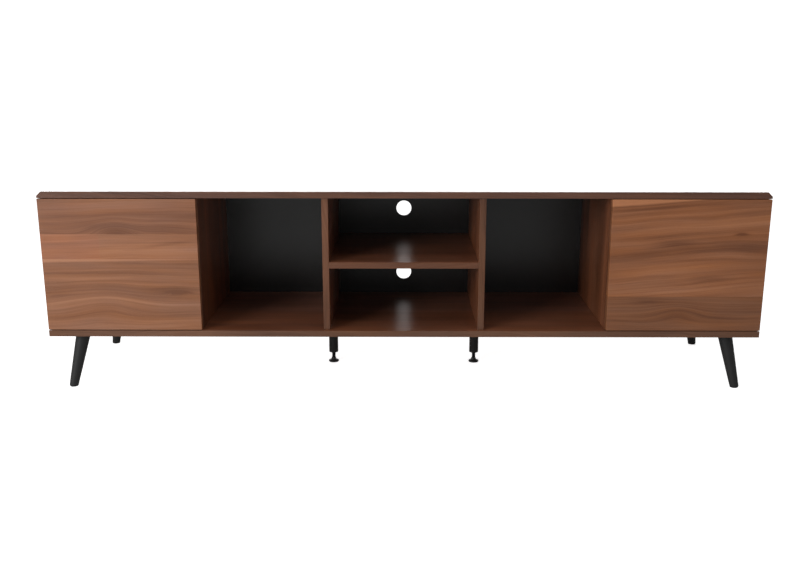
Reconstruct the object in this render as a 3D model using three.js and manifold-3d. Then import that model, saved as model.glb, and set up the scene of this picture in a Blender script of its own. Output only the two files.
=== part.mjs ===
// Low TV stand with two push-to-open doors, open bays between them, four splayed corner legs and
// two adjustable centre feet. Millimetres, +Z up, origin on the floor under the middle of the stand.
// +X runs along the stand's width and -Y is its front.
//
// Most pieces come in a left and a right copy, so they are placed by a side (-1 left, +1 right) and
// an inset, the distance inwards from that end of the stand.

import * as THREE from 'three';
import { mergeVertices } from 'three/addons/utils/BufferGeometryUtils.js';
import Module from 'manifold-3d';

const wasm = await Module();
wasm.setup();

// ---- Carcass ------------------------------------------------------------------------------------
const WIDTH = 1800;
const DEPTH = 400;
const BOARD = 16;
const LEG_HEIGHT = 138;
const INNER_HEIGHT = 338;
const BACK_THICKNESS = 3;
const DOOR_WIDTH = 389;
const DIVIDER_CENTRE = 195;
const SHELF_BOTTOM = 314;
const OPEN_BAY_SETBACK = 8;
const TOP_END_BEVEL = 11;
const BACK_SEAM = 1;
const CABLE_HOLE_RADIUS = 21.5;
const CABLE_HOLE_HEIGHTS = [215.5, 403];

const HALF_WIDTH = WIDTH / 2;
const FRONT = -DEPTH / 2;
const REAR = DEPTH / 2;
const BACK_FACE = REAR - BACK_THICKNESS;
const UNDERSIDE = LEG_HEIGHT;
const FLOOR_TOP = UNDERSIDE + BOARD;
const CEILING = FLOOR_TOP + INNER_HEIGHT;

// ---- Doors and hinges, in plan: inset from the end, and depth behind the closed door's back face ----
const DOOR_GAP = 3;
const DOOR_REVEAL = 2;
const DOOR_BACK = FRONT + BOARD;
const CARCASS_FRONT = DOOR_BACK + DOOR_GAP;
const HINGE_FROM_EDGE = 60;
const PIN_INSET = 7.5;
const PIN_DEPTH = -9;
const PIN_RADIUS = 1.25;
const PIN_LENGTH = 16.8;
const CUP_INSET = 20.5;
const CUP_RADIUS = 17.5;
const CUP_DEPTH = 12.8;
const CUP_WALL = 0.8;
const CUP_FLANGE = 1;
const ARM_HEIGHT = 11;
const ARM_THICKNESS = 2.2;
const RAIL_TOP = 21.2;
const PLATE_SCREW_DEPTH = 40;

// ---- Push latches, seen from the side: inset of the plunger and depth behind the door ---------------
const LATCH_SIZE = { width: 14, length: 60, height: 18 };
const LATCH_INSET = DOOR_WIDTH - BOARD - LATCH_SIZE.width / 2;
const LATCH_HEIGHT = (FLOOR_TOP + CEILING) / 2;
const PLUNGER_RADIUS = 4;
const PLUNGER_LENGTH = 48;
const STRIKE_RADIUS = 9;
const STRIKE_THICKNESS = 1;

// ---- Legs and centre feet ---------------------------------------------------------------------------
const LEG_TOP = { x: 826.5, y: 156.5 };
const LEG_TIP = { x: 854.5, y: 184.5 };
const LEG_TOP_RADIUS = 18.5;
const LEG_TIP_RADIUS = 11;
const LEG_TIP_ROUND = 6;
const LEG_PLATE = { size: 60, thickness: 2.5, corner: 6, screwSpacing: 44 };
const BOLT_RADIUS = 4;
const BOLT_DEPTH = 34;
const SLEEVE_RADIUS = 12.5;
const CENTRE_FOOT_Y = 18;
const SLEEVE_BOTTOM = 28;
const SLEEVE_FLANGE = { radius: 24, thickness: 3 };
const SCREW_RADIUS = 5;
const SCREW_TOP = 100;
const PAD_RADIUS = 14;
const PAD_RIM_HEIGHT = 4.5;
const PAD_NECK_HEIGHT = 12;

const CLEARANCE = 0.3;
const ROUND_SEGMENTS = 32;
const SMALL_SEGMENTS = 12;

// ---- Materials --------------------------------------------------------------------------------------
const walnut = new THREE.MeshStandardMaterial({ color: 0x6b4b3e, roughness: 0.45, metalness: 0 });
const doorWalnut = new THREE.MeshStandardMaterial({ color: 0x96694f, roughness: 0.45, metalness: 0 });
const blackBoard = new THREE.MeshStandardMaterial({ color: 0x262626, roughness: 0.6, metalness: 0 });
const blackPaint = new THREE.MeshStandardMaterial({ color: 0x2c2c2c, roughness: 0.5, metalness: 0 });
const blackSteel = new THREE.MeshStandardMaterial({ color: 0x1f1f1f, roughness: 0.45, metalness: 0.8 });
const nickel = new THREE.MeshStandardMaterial({ color: 0xb8b6b0, roughness: 0.3, metalness: 1 });
const blackPlastic = new THREE.MeshStandardMaterial({ color: 0x232323, roughness: 0.5, metalness: 0 });
const greyPlastic = new THREE.MeshStandardMaterial({ color: 0x8d8f91, roughness: 0.5, metalness: 0 });

// ---- Solids -----------------------------------------------------------------------------------------

// A closed geometry as a solid that can be joined and cut.
function solidOf(geometry) {
  const bare = geometry.index ? geometry.clone() : geometry;
  bare.deleteAttribute('normal');
  bare.deleteAttribute('uv');
  const merged = mergeVertices(bare, 1e-4);
  return new wasm.Manifold(new wasm.Mesh({
    numProp: 3,
    vertProperties: Float32Array.from(merged.attributes.position.array),
    triVerts: Uint32Array.from(merged.index.array),
  }));
}

function geometryOf(solid) {
  const mesh = solid.getMesh();
  const geometry = new THREE.BufferGeometry();
  geometry.setAttribute('position', new THREE.BufferAttribute(mesh.vertProperties, mesh.numProp));
  geometry.setIndex(new THREE.BufferAttribute(mesh.triVerts, 1));
  geometry.computeVertexNormals();
  return geometry;
}

function cut(geometry, ...tools) {
  return geometryOf(tools.reduce((solid, tool) => solid.subtract(solidOf(tool)), solidOf(geometry)));
}

function join(geometry, ...others) {
  return geometryOf(others.reduce((solid, other) => solid.add(solidOf(other)), solidOf(geometry)));
}

// A box between two corners, given in any order.
function boxBetween(a, b) {
  const box = new THREE.Box3().setFromPoints([new THREE.Vector3(...a), new THREE.Vector3(...b)]);
  const size = box.getSize(new THREE.Vector3());
  const centre = box.getCenter(new THREE.Vector3());
  return new THREE.BoxGeometry(size.x, size.y, size.z).translate(centre.x, centre.y, centre.z);
}

// A rod along the X, Y or Z axis, centred on a point.
function rod(radius, length, axis, at, segments = SMALL_SEGMENTS) {
  const geometry = new THREE.CylinderGeometry(radius, radius, length, segments);
  if (axis === 'x') geometry.rotateZ(Math.PI / 2);
  if (axis === 'z') geometry.rotateX(Math.PI / 2);
  return geometry.translate(...at);
}

// A turned piece: the profile is [radius, height] pairs from bottom to top, spun about +Z.
function turned(profile, segments = ROUND_SEGMENTS) {
  const points = profile.map(([radius, height]) => new THREE.Vector2(radius, height));
  return new THREE.LatheGeometry(points, segments).rotateX(Math.PI / 2);
}

function roundedRectangle(width, height, radius) {
  const x = width / 2 - radius;
  const y = height / 2 - radius;
  const shape = new THREE.Shape();
  shape.absarc(x, y, radius, 0, Math.PI / 2);
  shape.absarc(-x, y, radius, Math.PI / 2, Math.PI);
  shape.absarc(-x, -y, radius, Math.PI, 1.5 * Math.PI);
  shape.absarc(x, -y, radius, 1.5 * Math.PI, 2 * Math.PI);
  shape.closePath();
  return shape;
}

function extruded(shape, thickness) {
  return new THREE.ExtrudeGeometry(shape, { depth: thickness, bevelEnabled: false, curveSegments: 4 });
}

// ---- The assembly -----------------------------------------------------------------------------------
const stand = new THREE.Group();

function add(name, geometry, material, position = [0, 0, 0]) {
  const mesh = new THREE.Mesh(geometry, material);
  mesh.name = name;
  mesh.position.set(...position);
  stand.add(mesh);
}

function sideName(side) {
  return side < 0 ? 'left' : 'right';
}

// The x of a place that lies so far in from the stand's end.
function inward(side, inset) {
  return side * (HALF_WIDTH - inset);
}

function addBoard(name, material, low, high) {
  const size = high.map((value, i) => value - low[i]);
  const centre = high.map((value, i) => (value + low[i]) / 2);
  add(name, new THREE.BoxGeometry(...size), material, centre);
}

// An upright board whose middle plane is so far from the stand's middle.
function addUpright(name, side, centre, front) {
  const x = side * centre;
  addBoard(name, walnut, [x - BOARD / 2, front, FLOOR_TOP], [x + BOARD / 2, BACK_FACE, CEILING]);
}

// The top board, whose two ends are bevelled at 45 degrees along their upper edge.
function addTopPanel() {
  const profile = new THREE.Shape();
  profile.moveTo(-HALF_WIDTH, 0);
  profile.lineTo(HALF_WIDTH, 0);
  profile.lineTo(HALF_WIDTH, BOARD - TOP_END_BEVEL);
  profile.lineTo(HALF_WIDTH - TOP_END_BEVEL, BOARD);
  profile.lineTo(TOP_END_BEVEL - HALF_WIDTH, BOARD);
  profile.lineTo(-HALF_WIDTH, BOARD - TOP_END_BEVEL);
  profile.closePath();
  add('top_panel', extruded(profile, DEPTH).rotateX(Math.PI / 2), walnut, [0, REAR, CEILING]);
}

function addCarcass() {
  addTopPanel();
  addBoard('bottom_panel', walnut, [-HALF_WIDTH, FRONT, UNDERSIDE], [HALF_WIDTH, BACK_FACE, FLOOR_TOP]);
  const partitionCentre = HALF_WIDTH - DOOR_WIDTH + BOARD / 2;
  for (const side of [-1, 1]) {
    addUpright(`${sideName(side)}_side_panel`, side, HALF_WIDTH - BOARD / 2, CARCASS_FRONT);
    addUpright(`${sideName(side)}_partition`, side, partitionCentre, CARCASS_FRONT);
    addUpright(`${sideName(side)}_divider`, side, DIVIDER_CENTRE, FRONT + OPEN_BAY_SETBACK);
  }
  const shelfEnd = DIVIDER_CENTRE - BOARD / 2;
  addBoard('centre_shelf', walnut, [-shelfEnd, FRONT + OPEN_BAY_SETBACK, SHELF_BOTTOM],
    [shelfEnd, BACK_FACE, SHELF_BOTTOM + BOARD]);
}

// Three thin sheets close the back. They meet behind the dividers, and the middle one has the
// cable holes.
function addBackPanels() {
  const seam = DIVIDER_CENTRE - BACK_SEAM / 2;
  for (const side of [-1, 1]) {
    const ends = [side * (seam + BACK_SEAM), side * (HALF_WIDTH - BACK_SEAM)].sort((a, b) => a - b);
    addBoard(`${sideName(side)}_back_panel`, blackBoard,
      [ends[0], BACK_FACE, UNDERSIDE], [ends[1], REAR, CEILING]);
  }
  const sheet = boxBetween([-seam, BACK_FACE, UNDERSIDE], [seam, REAR, CEILING]);
  const holes = CABLE_HOLE_HEIGHTS.map((height) => (
    rod(CABLE_HOLE_RADIUS, 4 * BACK_THICKNESS, 'y', [0, REAR, height], ROUND_SEGMENTS)));
  add('centre_back_panel', cut(sheet, ...holes), blackBoard);
}

// ---- Doors ------------------------------------------------------------------------------------------
const HINGE_HEIGHTS = {
  lower: FLOOR_TOP + DOOR_REVEAL + HINGE_FROM_EDGE,
  upper: CEILING - DOOR_REVEAL - HINGE_FROM_EDGE,
};

function addDoor(side) {
  const slab = boxBetween([inward(side, 0), FRONT, FLOOR_TOP + DOOR_REVEAL],
    [inward(side, DOOR_WIDTH), DOOR_BACK, CEILING - DOOR_REVEAL]);
  const pockets = Object.values(HINGE_HEIGHTS).map((height) => (
    rod(CUP_RADIUS + CLEARANCE, 2 * (CUP_DEPTH + CLEARANCE), 'y',
      [inward(side, CUP_INSET), DOOR_BACK, height], ROUND_SEGMENTS)));
  add(`${sideName(side)}_door`, cut(slab, ...pockets), doorWalnut);
}

// The pressed cup, open towards the cabinet, with a flange that lies on the door's back.
function hingeCup() {
  const inner = CUP_RADIUS - CUP_WALL;
  const bowl = turned([
    [0, -CUP_DEPTH],
    [CUP_RADIUS - 1, -CUP_DEPTH],
    [CUP_RADIUS, 1 - CUP_DEPTH],
    [CUP_RADIUS, CUP_FLANGE],
    [inner, CUP_FLANGE],
    [inner, CUP_WALL - CUP_DEPTH],
    [0, CUP_WALL - CUP_DEPTH],
  ]);
  const ears = extruded(roundedRectangle(20, 62, 7), CUP_FLANGE);
  const mouth = rod(inner + CUP_WALL / 2, 4 * CUP_FLANGE, 'z', [0, 0, 0], ROUND_SEGMENTS);
  const screwHoles = [-24, 24].map((height) => rod(2.1, 4 * CUP_FLANGE, 'z', [0, height, 0]));
  // Turned so that the mouth faces +Y and the ears stand up and down.
  return join(bowl, cut(ears, mouth, ...screwHoles)).rotateX(-Math.PI / 2);
}

// The gooseneck arm in plan: an eye on the pin, a limb out of the cup, a crank and a long tail.
function hingeArm(side) {
  const half = ARM_THICKNESS / 2;
  const eyeRadius = 2.3;
  const neck = 18.8;
  const tail = RAIL_TOP + CLEARANCE;
  const tailEnd = 64;
  const leave = Math.asin(half / eyeRadius);
  const at = (inset, depth) => [-side * inset, depth];
  const outline = new THREE.Shape();
  const arcSteps = 10;
  for (let i = 0; i <= arcSteps; i += 1) {
    const angle = leave + ((2 * Math.PI - 2 * leave) * i) / arcSteps;
    const point = at(PIN_INSET + eyeRadius * Math.cos(angle), PIN_DEPTH + eyeRadius * Math.sin(angle));
    if (i === 0) outline.moveTo(...point);
    else outline.lineTo(...point);
  }
  const corners = [
    [neck + ARM_THICKNESS, PIN_DEPTH - half],
    [neck + ARM_THICKNESS, 7.5],
    [tail + ARM_THICKNESS, 13],
    [tail + ARM_THICKNESS, tailEnd],
    [tail, tailEnd],
    [tail, 14],
    [neck, 8.5],
    [neck, PIN_DEPTH + half],
  ];
  for (const corner of corners) outline.lineTo(...at(...corner));
  outline.closePath();
  const bar = extruded(outline, ARM_HEIGHT).translate(0, 0, -ARM_HEIGHT / 2);
  const eye = rod(PIN_RADIUS + CLEARANCE, 2 * ARM_HEIGHT, 'z', [-side * PIN_INSET, PIN_DEPTH, 0]);
  return cut(bar, eye);
}

// The cross-shaped plate on the side panel: a raised rail under the arm and a wing with two screws.
function hingePlate(side) {
  const x = (inset) => -side * inset;
  const rail = boxBetween([x(BOARD), 16, -ARM_HEIGHT / 2], [x(RAIL_TOP), 66, ARM_HEIGHT / 2]);
  const wing = extruded(roundedRectangle(14, 48, 6.5), 1.6)
    .rotateX(Math.PI / 2)
    .rotateZ(Math.PI / 2);
  wing.computeBoundingBox();
  const low = wing.boundingBox.min.x;
  const high = wing.boundingBox.max.x;
  wing.translate(side < 0 ? BOARD - low : -BOARD - high, PLATE_SCREW_DEPTH, 0);
  const screwHoles = [-16, 16].map((height) => (
    rod(2.6, 10, 'x', [x(BOARD), PLATE_SCREW_DEPTH, height])));
  return cut(join(rail, wing), ...screwHoles);
}

function addHinge(side, level, height) {
  const prefix = `${sideName(side)}_${level}_hinge`;
  const end = inward(side, 0);
  add(`${prefix}_cup`, hingeCup(), nickel, [inward(side, CUP_INSET), DOOR_BACK, height]);
  add(`${prefix}_pin`, rod(PIN_RADIUS, PIN_LENGTH, 'z', [0, 0, 0]), nickel,
    [inward(side, PIN_INSET), DOOR_BACK + PIN_DEPTH, height]);
  add(`${prefix}_arm`, hingeArm(side), nickel, [end, DOOR_BACK, height]);
  add(`${prefix}_plate`, hingePlate(side), nickel, [end, DOOR_BACK, height]);
}

// ---- Push latch: housing on the partition, sprung plunger, strike plate on the door ----------------
function addPushLatch(side) {
  const prefix = sideName(side);
  const x = inward(side, LATCH_INSET);
  const plungerTip = DOOR_BACK + STRIKE_THICKNESS + CLEARANCE;
  const { width, length, height } = LATCH_SIZE;
  const housing = boxBetween([-width / 2, 0, -height / 2], [width / 2, length, height / 2]);
  const boreDepth = PLUNGER_LENGTH + 2;
  const bore = rod(PLUNGER_RADIUS + CLEARANCE, 2 * boreDepth, 'y', [0, 0, 0]);
  add(`${prefix}_push_latch_housing`, cut(housing, bore), greyPlastic, [x, CARCASS_FRONT, LATCH_HEIGHT]);
  const plunger = turned([
    [0, 0],
    [PLUNGER_RADIUS, 0],
    [PLUNGER_RADIUS, PLUNGER_LENGTH - 1],
    [PLUNGER_RADIUS - 1, PLUNGER_LENGTH],
    [0, PLUNGER_LENGTH],
  ], SMALL_SEGMENTS).rotateX(Math.PI / 2);
  add(`${prefix}_push_latch_plunger`, plunger, blackPlastic,
    [x, plungerTip + PLUNGER_LENGTH, LATCH_HEIGHT]);
  add(`${prefix}_strike_plate`, rod(STRIKE_RADIUS, STRIKE_THICKNESS, 'y', [0, 0, 0], ROUND_SEGMENTS), nickel,
    [x, DOOR_BACK + STRIKE_THICKNESS / 2, LATCH_HEIGHT]);
}

// ---- Corner legs ------------------------------------------------------------------------------------
function addLeg(side, end) {
  const prefix = `${end < 0 ? 'front' : 'rear'}_${sideName(side)}_leg`;
  const tip = new THREE.Vector3(side * LEG_TIP.x, end * LEG_TIP.y, 0);
  const head = new THREE.Vector3(side * LEG_TOP.x, end * LEG_TOP.y, UNDERSIDE);
  const along = head.clone().sub(tip);
  const length = along.length();
  const lean = new THREE.Quaternion().setFromUnitVectors(new THREE.Vector3(0, 0, 1), along.normalize());
  const plateBottom = UNDERSIDE - LEG_PLATE.thickness;

  // The taper runs on past the floor and the plate, and is then sawn level at both ends.
  const below = 3;
  const above = 8;
  const round = LEG_TIP_ROUND;
  const profile = [[0, -below], [LEG_TIP_RADIUS - round, -below]];
  for (let i = 1; i <= 4; i += 1) {
    const angle = (i / 4) * (Math.PI / 2);
    profile.push([
      LEG_TIP_RADIUS - round + round * Math.sin(angle),
      -below + round * (1 - Math.cos(angle)),
    ]);
  }
  profile.push([LEG_TOP_RADIUS, length + above], [0, length + above]);
  const taper = turned(profile).applyQuaternion(lean);
  const bolt = rod(BOLT_RADIUS, 2 * BOLT_DEPTH, 'z', [0, 0, length]).applyQuaternion(lean);
  const boltBore = rod(BOLT_RADIUS + CLEARANCE, 2 * BOLT_DEPTH + 2, 'z', [0, 0, length])
    .applyQuaternion(lean);
  const reach = 60;
  const groundSaw = boxBetween([-reach, -reach, -reach], [reach, reach, 0]);
  const headSaw = (level) => boxBetween([-2 * reach, -2 * reach, level], [2 * reach, 2 * reach, level + reach]);

  const place = [tip.x, tip.y, 0];
  add(prefix, cut(taper, groundSaw, headSaw(plateBottom - CLEARANCE), boltBore), blackPaint, place);
  add(`${prefix}_bolt`, cut(bolt, headSaw(UNDERSIDE - CLEARANCE)), blackSteel, place);

  const { size, thickness, corner, screwSpacing } = LEG_PLATE;
  const sheet = extruded(roundedRectangle(size, size, corner), thickness);
  const holes = [rod(BOLT_RADIUS + 2, 4 * thickness, 'z', [0, 0, 0])];
  for (const x of [-1, 1]) {
    for (const y of [-1, 1]) {
      holes.push(rod(2.5, 4 * thickness, 'z', [(x * screwSpacing) / 2, (y * screwSpacing) / 2, 0]));
    }
  }
  add(`${prefix}_plate`, cut(sheet, ...holes), blackSteel, [head.x, head.y, plateBottom]);
}

// ---- Centre feet: a flanged sleeve under each divider, and a pad on a screw that runs up into it ----
function addCentreFoot(side) {
  const prefix = `${sideName(side)}_centre_foot`;
  const bore = SCREW_RADIUS + CLEARANCE;
  const flangeUnder = UNDERSIDE - SLEEVE_FLANGE.thickness;
  const chamfer = 1.5;
  const place = [side * DIVIDER_CENTRE, CENTRE_FOOT_Y, 0];
  const sleeve = turned([
    [bore, SLEEVE_BOTTOM],
    [SLEEVE_RADIUS - chamfer, SLEEVE_BOTTOM],
    [SLEEVE_RADIUS, SLEEVE_BOTTOM + chamfer],
    [SLEEVE_RADIUS, flangeUnder],
    [SLEEVE_FLANGE.radius, flangeUnder],
    [SLEEVE_FLANGE.radius, UNDERSIDE],
    [bore, UNDERSIDE],
    [bore, SLEEVE_BOTTOM],
  ]);
  add(`${prefix}_sleeve`, sleeve, blackSteel, place);
  const pad = turned([
    [0, 0],
    [PAD_RADIUS - 1, 0],
    [PAD_RADIUS, 1],
    [PAD_RADIUS, PAD_RIM_HEIGHT],
    [SCREW_RADIUS + 2, PAD_NECK_HEIGHT - 3],
    [SCREW_RADIUS, PAD_NECK_HEIGHT],
    [SCREW_RADIUS, SCREW_TOP - 1],
    [SCREW_RADIUS - 1, SCREW_TOP],
    [0, SCREW_TOP],
  ]);
  add(`${prefix}_screw_pad`, pad, blackPlastic, place);
}

addCarcass();
addBackPanels();
for (const side of [-1, 1]) {
  addDoor(side);
  for (const [level, height] of Object.entries(HINGE_HEIGHTS)) addHinge(side, level, height);
  addPushLatch(side);
  for (const end of [-1, 1]) addLeg(side, end);
  addCentreFoot(side);
}

export default stand;
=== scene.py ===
"""The looks of the low walnut TV stand: two doors, open bays, splayed legs and adjustable centre feet.

Metres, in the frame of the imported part: +Z up, the front faces -Y, and the origin is on the floor
under the middle of the stand. Lengths in millimetres go through mm() or carry the suffix _MM.
"""

import math

import bmesh
import bpy
from mathutils import Matrix, Vector


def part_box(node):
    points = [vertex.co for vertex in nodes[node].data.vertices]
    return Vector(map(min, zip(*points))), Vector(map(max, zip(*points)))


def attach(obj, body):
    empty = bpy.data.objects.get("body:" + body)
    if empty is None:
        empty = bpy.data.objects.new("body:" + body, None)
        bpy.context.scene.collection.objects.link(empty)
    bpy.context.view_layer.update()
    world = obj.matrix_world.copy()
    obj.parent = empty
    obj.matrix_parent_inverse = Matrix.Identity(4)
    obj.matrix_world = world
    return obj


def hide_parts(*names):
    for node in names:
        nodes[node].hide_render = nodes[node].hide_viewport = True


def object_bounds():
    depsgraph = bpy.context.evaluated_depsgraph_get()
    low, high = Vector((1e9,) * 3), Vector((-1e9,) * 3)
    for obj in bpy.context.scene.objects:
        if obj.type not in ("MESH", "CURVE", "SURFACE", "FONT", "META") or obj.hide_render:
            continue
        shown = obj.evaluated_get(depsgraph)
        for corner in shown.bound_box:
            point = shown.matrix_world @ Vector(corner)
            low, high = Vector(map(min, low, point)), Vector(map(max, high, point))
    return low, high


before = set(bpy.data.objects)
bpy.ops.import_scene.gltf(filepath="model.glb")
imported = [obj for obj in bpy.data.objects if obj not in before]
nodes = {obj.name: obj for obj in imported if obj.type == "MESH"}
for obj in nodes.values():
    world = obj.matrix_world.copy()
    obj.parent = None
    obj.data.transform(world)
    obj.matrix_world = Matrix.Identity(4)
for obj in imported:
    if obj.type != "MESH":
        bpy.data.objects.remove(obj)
cad_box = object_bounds()

SIDES = {"left": -1, "right": 1}
ENDS = {"front": -1, "rear": 1}
LEVELS = ("lower", "upper")
BACK_SHEETS = ("left_back_panel", "centre_back_panel", "right_back_panel")
X, Y, Z = range(3)


def mm(value):
    return value / 1000.0


def centre_of(low, high):
    return (low + high) / 2


# ---- Node trees -----------------------------------------------------------------------------------


class Graph:
    """Short calls for building a node tree. A value may be a number or another node's socket."""

    def __init__(self, node_tree):
        self.tree = node_tree

    def node(self, kind):
        return self.tree.nodes.new(kind)

    def find(self, kind):
        return next(n for n in self.tree.nodes if n.bl_idname == kind)

    def link(self, source, target):
        self.tree.links.new(source, target)

    def put(self, target, value):
        if isinstance(value, bpy.types.NodeSocket):
            self.link(value, target)
        else:
            target.default_value = value

    def math(self, operation, a, b=0.0, c=0.0):
        node = self.node("ShaderNodeMath")
        node.operation = operation
        for socket, value in zip(node.inputs, (a, b, c)):
            self.put(socket, value)
        return node.outputs[0]

    def total(self, *values):
        result = values[0]
        for value in values[1:]:
            result = self.math("ADD", result, value)
        return result

    def smooth(self, value, start, end):
        """0 at start and beyond it, 1 at end, with a smooth run between them."""
        node = self.node("ShaderNodeMapRange")
        node.interpolation_type = "SMOOTHSTEP"
        self.put(node.inputs["Value"], value)
        flip = start > end
        node.inputs["From Min"].default_value = end if flip else start
        node.inputs["From Max"].default_value = start if flip else end
        node.inputs["To Min"].default_value = 1.0 if flip else 0.0
        node.inputs["To Max"].default_value = 0.0 if flip else 1.0
        return node.outputs["Result"]

    def split(self, vector):
        node = self.node("ShaderNodeSeparateXYZ")
        self.link(vector, node.inputs[0])
        return node.outputs[0], node.outputs[1], node.outputs[2]

    def vector(self, x, y, z):
        node = self.node("ShaderNodeCombineXYZ")
        for socket, value in zip(node.inputs, (x, y, z)):
            self.put(socket, value)
        return node.outputs[0]

    def noise(self, vector, scale, detail, roughness):
        node = self.node("ShaderNodeTexNoise")
        self.link(vector, node.inputs["Vector"])
        node.inputs["Scale"].default_value = scale
        node.inputs["Detail"].default_value = detail
        node.inputs["Roughness"].default_value = roughness
        return node.outputs["Fac"]

    def ramp(self, value, stops):
        """A colour ramp through (position, colour) stops."""
        node = self.node("ShaderNodeValToRGB")
        elements = node.color_ramp.elements
        elements[0].position, elements[0].color = stops[0][0], (*stops[0][1], 1.0)
        elements[1].position, elements[1].color = stops[-1][0], (*stops[-1][1], 1.0)
        for position, colour in stops[1:-1]:
            elements.new(position).color = (*colour, 1.0)
        self.put(node.inputs["Fac"], value)
        return node.outputs["Color"]

    def mix(self, factor, a, b, blend="MIX"):
        node = self.node("ShaderNodeMix")
        node.data_type = "RGBA"
        node.blend_type = blend
        self.put(node.inputs["Factor"], factor)
        colours = [s for s in node.inputs if s.type == "RGBA"]
        for socket, value in zip(colours, (a, b)):
            self.put(socket, (*value, 1.0) if isinstance(value, tuple) else value)
        return next(s for s in node.outputs if s.type == "RGBA")

    def multiply(self, factor, colour, tint):
        """The colour, tinted by the factor's share."""
        return self.mix(factor, colour, tint, "MULTIPLY")

    def bump(self, height, strength, distance):
        node = self.node("ShaderNodeBump")
        node.inputs["Strength"].default_value = strength
        node.inputs["Distance"].default_value = distance
        self.link(height, node.inputs["Height"])
        return node.outputs["Normal"]


def new_material(name):
    material = bpy.data.materials.new(name)
    material.use_nodes = True
    tree = Graph(material.node_tree)
    return material, tree, tree.find("ShaderNodeBsdfPrincipled")


# ---- Camera, floor and light ----------------------------------------------------------------------

# The camera: 14.3 degrees down, above the stand's top and about 2.3 m in front of it.
CAMERA_PLACE = (0.0001, -2.4722, 0.8446)
CAMERA_TILT = math.radians(75.690)
CAMERA_ROLL = math.radians(0.03)
CAMERA_TURN = math.radians(0.24)
CAMERA_LENS_MM = 42.165
SENSOR_MM = 36.0

# Strengths of the sweep's light: all round, on the wall behind the stand, and at the wall's foot.
WORLD_FILL = 0.30
WALL_GLOW = 0.45
LOW_GLOW = 3.4

# The floor glows only for the camera, so that it reads as white without lighting the stand.
FLOOR_REACH = 14.0
FLOOR_GLOW = 0.84

SOFTBOXES = (
    {"name": "key_softbox", "place": (-2.5, -2.7, 1.35), "aim": (-0.1, -0.1, 0.25),
     "size": (1.6, 1.6), "watts": 78.0},
    {"name": "top_softbox", "place": (0.0, -0.9, 2.6), "aim": (0.0, 0.0, 0.3),
     "size": (2.6, 1.4), "watts": 22.0},
)


def make_camera():
    data = bpy.data.cameras.new("camera")
    data.lens = CAMERA_LENS_MM
    data.sensor_width = SENSOR_MM
    data.clip_end = 60.0
    camera = bpy.data.objects.new("camera", data)
    camera.location = CAMERA_PLACE
    camera.rotation_euler = (CAMERA_TILT, 0.0, CAMERA_TURN)
    camera.rotation_euler.rotate_axis("Z", CAMERA_ROLL)
    bpy.context.scene.collection.objects.link(camera)
    bpy.context.scene.camera = camera


def make_world():
    """A white sweep: white where the camera sees it, bright low behind the stand, dimmer elsewhere."""
    world = bpy.data.worlds.new("studio")
    bpy.context.scene.world = world
    world.use_nodes = True
    tree = Graph(world.node_tree)
    direction = tree.split(tree.node("ShaderNodeTexCoord").outputs["Generated"])
    behind = tree.smooth(direction[Y], 0.25, 0.75)
    wall = tree.math("MULTIPLY", behind, tree.smooth(direction[Z], 0.60, 0.25))
    foot_of_wall = tree.math("MULTIPLY", behind, tree.smooth(direction[Z], 0.20, 0.15))
    strength = tree.math("MULTIPLY_ADD", wall, WALL_GLOW, WORLD_FILL)
    strength = tree.math("MULTIPLY_ADD", foot_of_wall, LOW_GLOW, strength)
    camera_ray = tree.node("ShaderNodeLightPath").outputs["Is Camera Ray"]
    seen = tree.math("MAXIMUM", strength, camera_ray)
    background = tree.find("ShaderNodeBackground")
    tree.link(seen, background.inputs["Strength"])
    background.inputs["Color"].default_value = (1.0, 1.0, 1.0, 1.0)


def add_softbox(name, place, aim, size, watts):
    data = bpy.data.lights.new(name, "AREA")
    data.shape = "RECTANGLE"
    data.size, data.size_y = size
    data.energy = watts
    lamp = bpy.data.objects.new(name, data)
    lamp.location = place
    direction = Vector(aim) - Vector(place)
    lamp.rotation_euler = direction.to_track_quat("-Z", "Y").to_euler()
    bpy.context.scene.collection.objects.link(lamp)


def floor_paint():
    material, tree, shader = new_material("studio_floor")
    shader.inputs["Base Color"].default_value = (0.80, 0.80, 0.80, 1.0)
    shader.inputs["Roughness"].default_value = 0.9
    shader.inputs["Specular IOR Level"].default_value = 0.2
    shader.inputs["Emission Color"].default_value = (1.0, 1.0, 1.0, 1.0)
    camera_ray = tree.node("ShaderNodeLightPath").outputs["Is Camera Ray"]
    tree.link(tree.math("MULTIPLY", camera_ray, FLOOR_GLOW), shader.inputs["Emission Strength"])
    return material


def make_floor():
    mesh = bpy.data.meshes.new("floor")
    reach = FLOOR_REACH
    corners = [(-reach, -reach, 0.0), (reach, -reach, 0.0), (reach, reach, 0.0), (-reach, reach, 0.0)]
    mesh.from_pydata(corners, [], [(0, 1, 2, 3)])
    mesh.materials.append(floor_paint())
    floor = bpy.data.objects.new("floor", mesh)
    bpy.context.scene.collection.objects.link(floor)


def make_studio():
    bpy.context.scene.view_settings.view_transform = "Standard"
    make_world()
    for softbox in SOFTBOXES:
        add_softbox(**softbox)
    make_floor()


# ---- Walnut ---------------------------------------------------------------------------------------

# How strongly each noise shows on a carcass board, and the board's finish.
BOARD_LOOK = {"streaks": 1.1, "bands": 0.5, "clouds": 0.7, "fibres": 0.5, "hue": 0.6,
              "roughness": 0.29, "specular": 0.32}

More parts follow.
